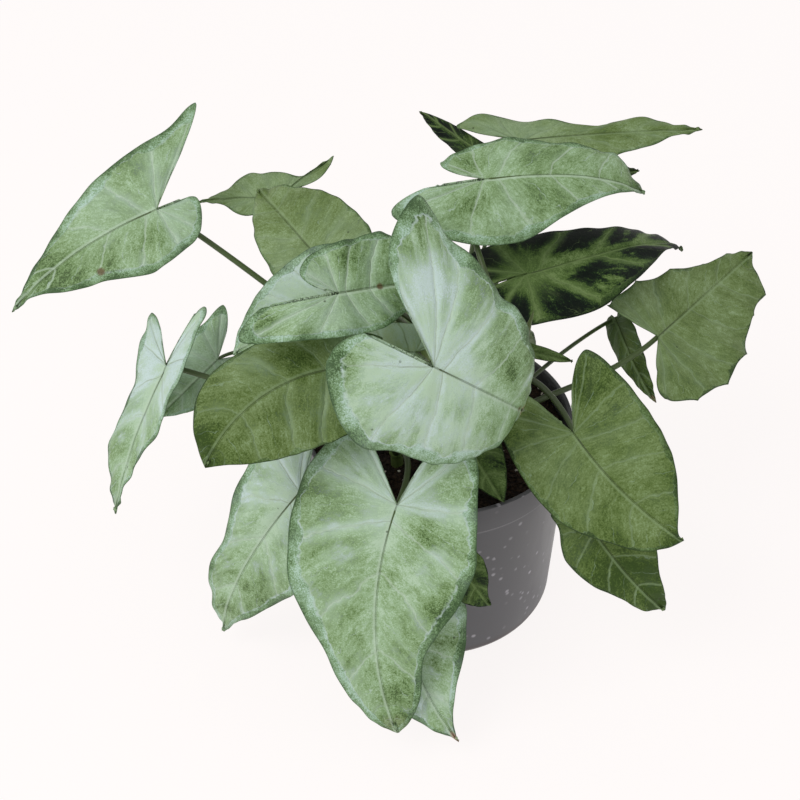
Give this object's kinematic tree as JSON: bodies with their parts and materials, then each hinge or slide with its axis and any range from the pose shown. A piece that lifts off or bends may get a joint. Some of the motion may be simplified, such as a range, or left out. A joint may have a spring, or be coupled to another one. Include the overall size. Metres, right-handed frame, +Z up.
{
  "type": "potted arrowhead plant",
  "caption": "Bushy young arrowhead plant with pale variegated arrow-shaped leaves, growing in a round, slightly tapered plastic pot that stands on a flat surface.",
  "frame": {"origin": "centre of the underside of the pot, on the surface it stands on", "axes": "+Z up along the pot's axis; the crown leans toward -Y, its front"},
  "size_m": [0.3815, 0.2883, 0.2562],
  "materials": {
    "pot": "satin",
    "soil": "matte",
    "stem": "satin",
    "leaf_mint": "satin",
    "leaf_olive": "satin",
    "leaf_dark": "satin"
  },
  "bodies": {
    "root": {"pot": "pot", "soil": "soil", "stem_left": "stem", "stem_front": "stem", "stem_middle": "stem", "stem_right": "stem", "stem_rear": "stem", "leaf_01": "leaf_mint", "leaf_02": "leaf_mint", "leaf_03": "leaf_mint", "leaf_04": "leaf_olive", "leaf_05": "leaf_mint", "leaf_06": "leaf_olive", "leaf_07": "leaf_olive", "leaf_08": "leaf_mint", "leaf_09": "leaf_mint", "leaf_10": "leaf_mint", "leaf_11": "leaf_mint", "leaf_12": "leaf_mint", "leaf_13": "leaf_olive", "leaf_14": "leaf_dark", "leaf_15": "leaf_dark", "leaf_16": "leaf_olive", "leaf_17": "leaf_olive", "leaf_18": "leaf_olive", "leaf_19": "leaf_olive", "leaf_20": "leaf_mint", "leaf_21": "leaf_dark", "leaf_22": "leaf_dark", "leaf_23": "leaf_dark", "leaf_24": "leaf_olive", "leaf_25": "leaf_dark", "leaf_26": "leaf_olive", "leaf_27": "leaf_olive"}
  },
  "joints": []
}
